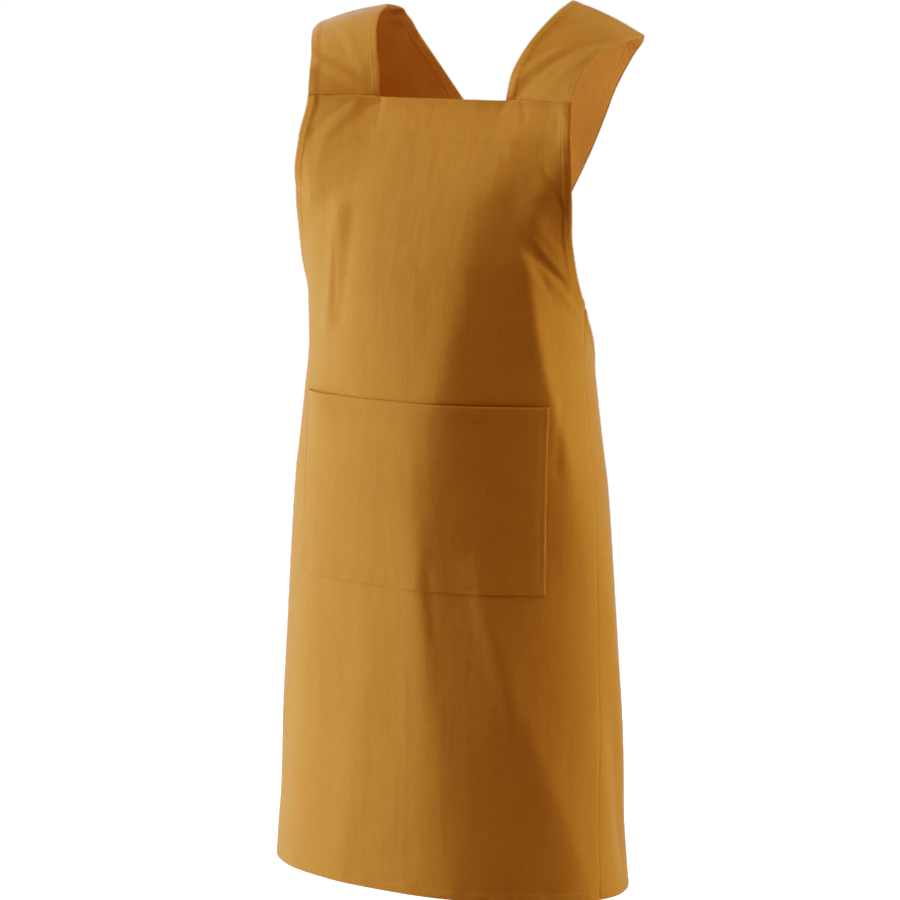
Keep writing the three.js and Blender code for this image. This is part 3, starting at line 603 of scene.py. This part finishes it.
def add_stitches(name, lines):
    """Rows of straight stitches, copies of one, laid along lines of the cloth"""
    places, faces = [], []
    for line, normals in lines:
        along = np.concatenate([[0.0], np.cumsum(np.linalg.norm(np.diff(line, axis=0), axis=1))])
        middles = np.arange(stitch_pitch / 2.0, along[-1], stitch_pitch)
        at = np.stack([np.interp(middles, along, line[:, axis]) for axis in range(3)], -1)
        step = stitch_length / 2.0
        run = np.stack([np.interp(middles + step, along, line[:, axis])
                        - np.interp(middles - step, along, line[:, axis]) for axis in range(3)], -1)
        run /= np.linalg.norm(run, axis=1, keepdims=True)
        up = np.stack([np.interp(middles, along, normals[:, axis]) for axis in range(3)], -1)
        up -= run * np.sum(up * run, axis=1, keepdims=True)
        up /= np.linalg.norm(up, axis=1, keepdims=True)
        side = np.cross(up, run)
        frames = np.stack([run, side, up], -1)
        laid = np.einsum("nij,kj->nki", frames, stitch_places) + (at + stitch_rise * up)[:, None, :]
        for copy in laid:
            shift = len(places) * len(stitch_places)
            places.append(copy)
            faces += [[corner + shift for corner in face] for face in stitch_faces]
    mesh = bpy.data.meshes.new(name)
    mesh.from_pydata(np.concatenate(places).tolist(), [], faces)
    mesh.shade_smooth()
    piece = bpy.data.objects.new(name, mesh)
    bpy.context.collection.objects.link(piece)
    piece.data.materials.append(thread_paint)
    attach(piece, "root")


bib_rows = panel_drops <= side_seam_top
bib_face, bib_lengths = panel[bib_rows], panel_lengths[bib_rows]
from_left, from_right = bib_lengths - bib_lengths[:, :1], bib_lengths[:, -1:] - bib_lengths
panel_seams = []
for inside in (edge_seam, armhole_hem):
    panel_seams.append(seam_line(bib_face, from_left, inside))
    panel_seams.append(seam_line(bib_face[:, ::-1], from_right[:, ::-1], inside, turned=True))
down_face, down_drops = panel.transpose(1, 0, 2), drop_grid.T
between_edges = from_edge[0] > armhole_hem
for drop in (bib_top_drop + facing_depth, hem_drop - hem_seam):
    line, directions = seam_line(down_face, down_drops, drop, turned=True)
    panel_seams.append((line[between_edges], directions[between_edges]))
line, directions = seam_line(down_face, down_drops, bib_top_drop + top_seam, turned=True)
for on_strap in (panel_lengths[0] < -1.02 * neck_half, panel_lengths[0] > 1.02 * neck_half):
    panel_seams.append((line[on_strap], directions[on_strap]))
add_stitches("front_panel_stitches", panel_seams)

# Bib facing
# A strip of the same canvas behind the top of the bib. It closes in the strap ends and is held by the
# line of stitches across the chest.
seam_room = 0.0004
layer = cloth + seam_room
facing_half_share = 0.98
facing_drops = np.linspace(bib_top_drop, bib_top_drop + facing_depth, 20)
facing_shares = np.linspace(-facing_half_share, facing_half_share, 120)
facing_angles, facing_lengths = front_angles(facing_drops, facing_shares)
facing_grid = np.repeat(facing_drops[:, None], len(facing_shares), 1)
facing = body_place(facing_angles, facing_grid)
facing += outward(facing) * (cloth / 2.0 - 2.0 * layer - seam_room / 2.0)
facing_flat = np.stack([facing_lengths, -facing_grid], -1)
bib_facing = cloth_wall("bib_facing_cloth", facing, np.full(facing_grid.shape, wall), facing_flat)
finish_cloth(bib_facing, "bib_facing")

# Straps
# Two wide bands with turned and stitched edges. Each is sewn in behind the bib, goes over the shoulder
# and across the back, and is sewn in behind the other side's back panel. The left one lies on top.
strap_width = 0.080
shoulder = np.array((0.1465, 0.0, 0.007))
upper_back_depth, upper_back_half = 0.064, 0.200
back_top_drop = 0.352
strap_overlap, strap_inset = 0.016, 0.003
back_end_x = -0.086
strap_hem, strap_edge_seam = 0.0105, 0.0072
strap_hem_wall, strap_pucker = 0.0006, 0.00035
strap_arch = 0.003
left_over_right = 2.6 * layer
strap_flat_place = 0.3

# station, x, y, z as shares of the way from bib to shoulder, width share, lean and turn in degrees
strap_front = np.array([
    (0, 0.00, 0.00, 0.00, 0.97, 0.0, -9.0), (1, 0.10, 0.09, 0.27, 0.98, 3.0, -5.4),
    (2, 0.31, 0.24, 0.53, 0.95, 7.1, -2.3), (3, 0.63, 0.48, 0.77, 0.97, 13.0, -1.5),
    (4, 0.87, 0.74, 0.92, 1.02, 17.5, -1.0), (5, 1.00, 1.00, 1.00, 1.08, 18.6, 1.0),
])
# The same from the shoulder to the back panel, with y as a share of the upper back's depth
strap_back = np.array([
    (0, 0.000, 0.02, 0.000, 1.08, 18.6, 1.0), (1, 0.040, 0.37, 0.030, 1.04, 24.0, -4.0),
    (2, 0.120, 0.70, 0.125, 1.00, 30.0, -9.0), (3, 0.235, 0.84, 0.250, 1.00, 33.0, -9.0),
    (4, 0.430, 1.00, 0.440, 1.00, 33.0, 0.0), (5, 0.632, 1.00, 0.635, 1.00, 33.0, 0.0),
    (6, 0.830, 0.86, 0.825, 1.00, 33.0, 0.0), (7, 1.000, 0.48, 1.000, 1.00, 33.0, 0.0),
])
# Line of the upper back: down and out as shares
upper_back = np.array([
    (0.00, 0.51), (0.03, 0.70), (0.12, 0.88), (0.25, 0.96), (0.44, 1.00), (0.63, 0.98),
    (0.82, 0.89), (1.00, 0.745),
])
# Creases of each strap: from and to as shares of the width from the neck side and metres along the strap,
# height in cloth thicknesses, half width in metres, and keenness of the crest
left_creases = [
    (0.17, 0.022, 0.60, 0.070, -0.6, 0.0050, 0.6), (0.14, 0.040, 0.55, 0.085, 0.7, 0.0070, 0.3),
    (0.60, 0.030, 0.88, 0.070, 0.5, 0.0080, 0.3), (0.66, 0.088, 0.98, 0.104, -0.5, 0.0060, 0.5),
    (0.12, 0.088, 0.40, 0.120, -0.4, 0.0070, 0.3), (0.30, 0.070, 0.62, 0.092, -0.3, 0.0040, 0.6),
    (0.10, 0.018, 0.12, 0.060, 0.4, 0.0060, 0.3),
]
right_creases = [
    (0.34, 0.024, 0.88, 0.046, -0.6, 0.0045, 0.5), (0.30, 0.034, 0.90, 0.060, 0.7, 0.0055, 0.4),
    (0.36, 0.046, 0.90, 0.072, -0.5, 0.0050, 0.4), (0.26, 0.052, 0.46, 0.090, 0.4, 0.0070, 0.3),
    (0.48, 0.072, 0.66, 0.104, -0.3, 0.0070, 0.3), (0.60, 0.018, 0.95, 0.028, 0.4, 0.0040, 0.4),
]


def crease_height(share, along, table):
    """Height of a strap's creases at places of the strap"""
    height = 0.0
    for share0, along0, share1, along1, high, broad, keen in table:
        run_across, run_along = (share1 - share0) * strap_width, along1 - along0
        run = math.hypot(run_across, run_along)
        across, further = (share - share0) * strap_width, along - along0
        part = (across * run_across + further * run_along) / run ** 2
        aside = (across * run_along - further * run_across) / run / broad
        past = np.maximum(0.0, np.abs(part - 0.5) - 0.5) * run
        height = height + high * cloth * crest_shape(aside, keen) * np.exp(-(past / (2.0 * broad)) ** 2)
    return height


def moved_out(angle, drop, away):
    """Places on the worn cloth, moved along its outward direction"""
    step_angle, step_drop = 0.01, 0.002
    across = body_place(angle + step_angle, drop) - body_place(angle - step_angle, drop)
    down = body_place(angle, drop + step_drop) - body_place(angle, drop - step_drop)
    normal = np.cross(down, across)
    normal /= np.linalg.norm(normal, axis=-1, keepdims=True)
    return body_place(angle, drop) + normal * away


def strap_places(side, over, columns, lean_more):
    """Middle surface of a strap as rows from its end behind the bib to its end behind the back panel,
    worked out on the left side and turned over for the right"""
    def behind(angle, drop, room):
        places = moved_out(side * angle, drop, -cloth - room)
        places[..., 0] *= side
        return places

    rows = []
    for drop in np.linspace(bib_top_drop + strap_overlap, bib_top_drop, 7):
        here = np.array([drop])
        inner = math.asin(neck_half / form_at(np.array([bib_top_drop]))[0][0])
        outer = edge_angle(here)[0] - strap_inset / form_at(here)[0][0]
        rows.append(behind(inner + (outer - inner) * columns, np.full(len(columns), drop), seam_room))
    seam_row = rows[-1]
    seam = (seam_row[0] + seam_row[-1]) / 2.0
    shares = 2.0 * columns - 1.0

    def station_row(table, at, start, end, at_shoulder, y_scale=None):
        x, y, z, width, lean, turn = (read(table, c, np.array([at]))[0] for c in range(1, 7))
        lean, turn = math.radians(lean + lean_more * at_shoulder), math.radians(turn)
        half = strap_width / 2.0 * width
        middle = start + (end - start) * np.array((x, y, z))
        if y_scale is not None:
            middle[1] = y_scale * y
        across = half * np.array((math.cos(lean) * math.cos(turn), math.sin(turn),
                                  -math.sin(lean) * math.cos(turn)))
        arch = np.stack([0.0 * shares, 0.0 * shares, -strap_arch * at_shoulder * shares ** 2], -1)
        return middle + shares[:, None] * across + arch

    for at in np.linspace(0.0, 5.0, 61)[1:]:
        rows.append(station_row(strap_front, at, seam, shoulder, smooth(at, 1.5, 5.0)))
    back_end = np.array((back_end_x, 0.0, -back_top_drop - strap_overlap))
    waist_half = form_at(np.array([back_top_drop]))[0][0]
    for at in np.linspace(0.0, 7.0, 151)[1:]:
        row = station_row(strap_back, at, shoulder, back_end, 1.0 - smooth(at, 0.0, 2.5), upper_back_depth)
        down = np.minimum(1.0, (shoulder[2] - row[:, 2]) / (shoulder[2] - back_end[2]))
        wide = upper_back_half + (waist_half - upper_back_half) * down
        rounding = np.sqrt(np.maximum(0.04, 1.0 - (row[:, 0] / wide) ** 2))
        on_back = body_middle_y + (upper_back_depth - body_middle_y) * read(upper_back, 1, down) * rounding
        row[:, 1] += (on_back - row[:, 1]) * smooth(at, 0.5, 2.5)
        seated = smooth(-row[:, 2], back_top_drop - strap_width, back_top_drop - 0.4 * strap_width)
        seated = seated * smooth(np.abs(row[:, 0]), 0.1 * strap_width, 0.4 * strap_width)
        drop = np.maximum(-row[:, 2], side_seam_top)
        angle = math.pi - np.arcsin(np.clip(np.abs(row[:, 0]) / form_at(drop)[0], 0.0, 1.0))
        sewn = behind(np.where(row[:, 0] < 0, -angle, angle), drop, 2.0 * seam_room)
        row += (sewn - row) * seated[:, None]
        row[:, 1] += over * (1.0 - seated) * np.exp(-(row[:, 0] / (0.9 * strap_width)) ** 4)
        rows.append(row)
    return np.array(rows)


def add_strap(name, side, over, lean_more, creases):
    """A strap as a wall of cloth, its edges turned in, with its stitches on both of its sides"""
    columns = band_steps(1.0, strap_hem / strap_width, 0.035)
    places = strap_places(side, over, columns, lean_more)
    places[..., 0] *= side
    if side > 0:
        places = places[:, ::-1]
    normal = outward(places)
    steps = np.linalg.norm(np.diff(places[:, places.shape[1] // 2], axis=0), axis=1)
    along = np.concatenate([[0.0], np.cumsum(steps)])[:, None]
    inside = (np.minimum(columns, 1.0 - columns) * strap_width)[None, :]
    share = (1.0 - columns if side > 0 else columns)[None, :]
    lift = hem_profile(inside, strap_hem) * (0.8 - 0.4 * share)
    lift = lift + puckers(along + 0.05 * side, inside, strap_hem, strap_pucker)
    lift = lift + crease_height(share, along, creases) * smooth(inside, 0.0, strap_hem)
    free = smooth(along, strap_overlap, strap_overlap + 0.01)
    free = free * (1.0 - smooth(along, along[-1] - 0.035, along[-1] - 0.02))
    face = places + normal * (cloth / 2.0 + lift * free)[..., None]
    thickness = wall + strap_hem_wall * (1.0 - smooth(inside, 0.008, 0.009)) * np.ones_like(along)
    flat_across = (columns * strap_width)[None, :] + strap_flat_place * side
    flat = np.stack(np.broadcast_arrays(flat_across, along), -1)
    piece = cloth_wall(name + "_cloth", face, thickness, flat)
    finish_cloth(piece, name)
    free_rows = (along[:, 0] > strap_overlap + 0.002) & (along[:, 0] < along[-1, 0] - 0.02)
    across = np.broadcast_to(columns * strap_width, face.shape[:2])[free_rows]
    under = face - normal * thickness[..., None]
    seams = []
    for inside in (strap_edge_seam, strap_hem):
        for level in (inside, strap_width - inside):
            seams.append(seam_line(face[free_rows], across, level))
            seams.append(seam_line(under[free_rows], across, level, turned=True))
    add_stitches(name + "_stitches", seams)


add_strap("strap_left", 1, left_over_right, 4.5, left_creases)
add_strap("strap_right", -1, 0.0, -5.0, right_creases)

# Pocket
# One wide patch of the same canvas on the skirt's front. Its mouth is hemmed and stands off a little;
# its sides and bottom are turned under and stitched down.
pocket_top_drop, pocket_height = 0.376, 0.190
pocket_half = 0.1455
mouth_ease = 0.0022
pocket_edge, pocket_edge_seam, mouth_hem = 0.005, 0.0018, 0.015
pocket_wall, pocket_pucker = 0.0006, 0.0002
pocket_step, pocket_band = 0.0030, 0.008
pocket_flat_place = 0.7
pocket_drops = pocket_top_drop + band_steps(pocket_height, pocket_band, pocket_step)
pocket_lengths = band_steps(2.0 * pocket_half, pocket_band, pocket_step) - pocket_half
pocket_grid = np.repeat(pocket_drops[:, None], len(pocket_lengths), 1)
pocket_angles = np.empty(pocket_grid.shape)
for row, drop in enumerate(pocket_drops):
    table, run = lengths_round(drop)
    pocket_angles[row] = np.sign(pocket_lengths) * np.interp(np.abs(pocket_lengths), run, table)
pocket_face = body_place(pocket_angles, pocket_grid)
from_side = (pocket_half - np.abs(pocket_lengths))[None, :]
from_mouth = pocket_grid - pocket_top_drop
from_bottom = pocket_top_drop + pocket_height - pocket_grid
mouth = np.exp(-(from_mouth / (0.2 * pocket_height)) ** 2)
side_share = pocket_lengths[None, :] / pocket_half
gape_shape = (1.0 - side_share ** 10) * (0.35 + 1.9 * np.exp(-((side_share + 0.85) / 0.22) ** 2))
gape = mouth_ease * mouth * gape_shape
sewn_down = np.exp(-(np.minimum(from_side, from_bottom) / 0.006) ** 2)
lift = 0.0006 + 0.0005 * (1.0 - sewn_down) + gape
lift = lift + 0.6 * hem_profile(np.minimum(from_side, from_bottom), pocket_edge)
lift = lift + hem_profile(from_mouth, mouth_hem) + puckers(pocket_grid, from_side, pocket_edge, pocket_pucker)
lift = lift + puckers(pocket_lengths[None, :], from_bottom, pocket_edge, pocket_pucker)
pocket_face += outward(pocket_face) * (cloth / 2.0 + lift)[..., None]
pocket_across = np.broadcast_to(pocket_lengths[None, :], pocket_grid.shape)
pocket_flat = np.stack([pocket_across + pocket_flat_place, -pocket_grid], -1)
pocket = cloth_wall("pocket_cloth", pocket_face, np.full(pocket_grid.shape, pocket_wall), pocket_flat)
finish_cloth(pocket, "pocket")

pocket_seams = []
length_grid = np.broadcast_to(pocket_lengths[None, :] + pocket_half, pocket_grid.shape)
pocket_down, pocket_down_drops = pocket_face.transpose(1, 0, 2), pocket_grid.T
for inside in (pocket_edge_seam, pocket_edge):
    for level in (inside, 2.0 * pocket_half - inside):
        pocket_seams.append(seam_line(pocket_face, length_grid, level))
    bottom_level = pocket_top_drop + pocket_height - inside
    pocket_seams.append(seam_line(pocket_down, pocket_down_drops, bottom_level, turned=True))
mouth_level = pocket_top_drop + mouth_hem
pocket_seams.append(seam_line(pocket_down, pocket_down_drops, mouth_level, turned=True))
add_stitches("pocket_stitches", pocket_seams)

# Back panels
# Each runs from a side seam round to the opening at the middle of the back. Its top edge carries the
# armhole on, and takes the end of the strap from the other shoulder.
back_opening_half = 0.035
back_pucker = 0.0002
back_flat_place = 1.5
# along from the side seam to the opening, and the top edge's fall, as shares
armhole_fall = np.array([
    (0.000, 0.00), (0.060, 0.18), (0.125, 0.34), (0.190, 0.49), (0.255, 0.64), (0.430, 0.84),
    (0.670, 0.96), (1.000, 1.00),
])


def add_back_panel(name, side):
    """A back panel as a wall of cloth, with its top, its opening edge and its bottom turned in"""
    shares = band_steps(1.0, 0.035, 0.014)
    depths = band_steps(1.0, 0.02, 0.0062)
    top = side_seam_top + (back_top_drop - side_seam_top) * read(armhole_fall, 1, shares)
    drops = top[None, :] + (hem_drop - top[None, :]) * depths[:, None]
    wide = form_at(drops)[0]
    start = seam_angle(drops) + 0.3 * seam_room / wide
    end = math.pi - np.arcsin(back_opening_half / wide)
    angles = side * (start + (end - start) * shares[None, :])
    places = body_place(angles, drops)
    from_seam = np.cumsum(np.linalg.norm(np.diff(places, axis=1, prepend=places[:, :1]), axis=-1), axis=1)
    if side < 0:
        places, drops, from_seam = (grid[:, ::-1] for grid in (places, drops, from_seam))
        top, shares = top[::-1], 1.0 - shares
    normal = outward(places)
    lengths = -from_seam if side < 0 else from_seam
    from_opening = from_seam.max(axis=1, keepdims=True) - from_seam
    slope = np.gradient(top) / np.gradient(lengths[0])
    from_top = (drops - top[None, :]) / np.hypot(1.0, slope)[None, :]
    from_hem = hem_drop - drops
    lift = hem_profile(from_top, armhole_hem) + hem_profile(from_opening, armhole_hem)
    lift += seam_roll(from_seam)
    lift += hem_profile(from_hem, bottom_hem) + puckers(lengths, from_hem, bottom_hem, hem_pucker)
    lift += puckers(lengths, from_top, armhole_hem, back_pucker)
    lift += puckers(drops, from_opening, armhole_hem, back_pucker)
    face = places + normal * (cloth / 2.0 + lift)[..., None]
    thickness = wall + hem_wall * (1.0 - smooth(from_hem, bottom_hem, bottom_hem + 0.002))
    flat = np.stack([lengths + back_flat_place + side, -drops], -1)
    piece = cloth_wall(name + "_cloth", face, thickness, flat)
    finish_cloth(piece, name)
    seams = []
    opening_first = side > 0
    opening = from_opening[:, ::-1] if opening_first else from_opening
    opening_face = face[:, ::-1] if opening_first else face
    face_down = face.transpose(1, 0, 2)
    for inside in (edge_seam, armhole_hem):
        seams.append(seam_line(opening_face, opening, inside, turned=opening_first))
        seams.append(seam_line(face_down, from_top.T, inside, turned=True))
    seams.append(seam_line(face_down, -from_hem.T, -hem_seam, turned=True))
    add_stitches(name + "_stitches", seams)


add_back_panel("back_panel_left", 1)
add_back_panel("back_panel_right", -1)
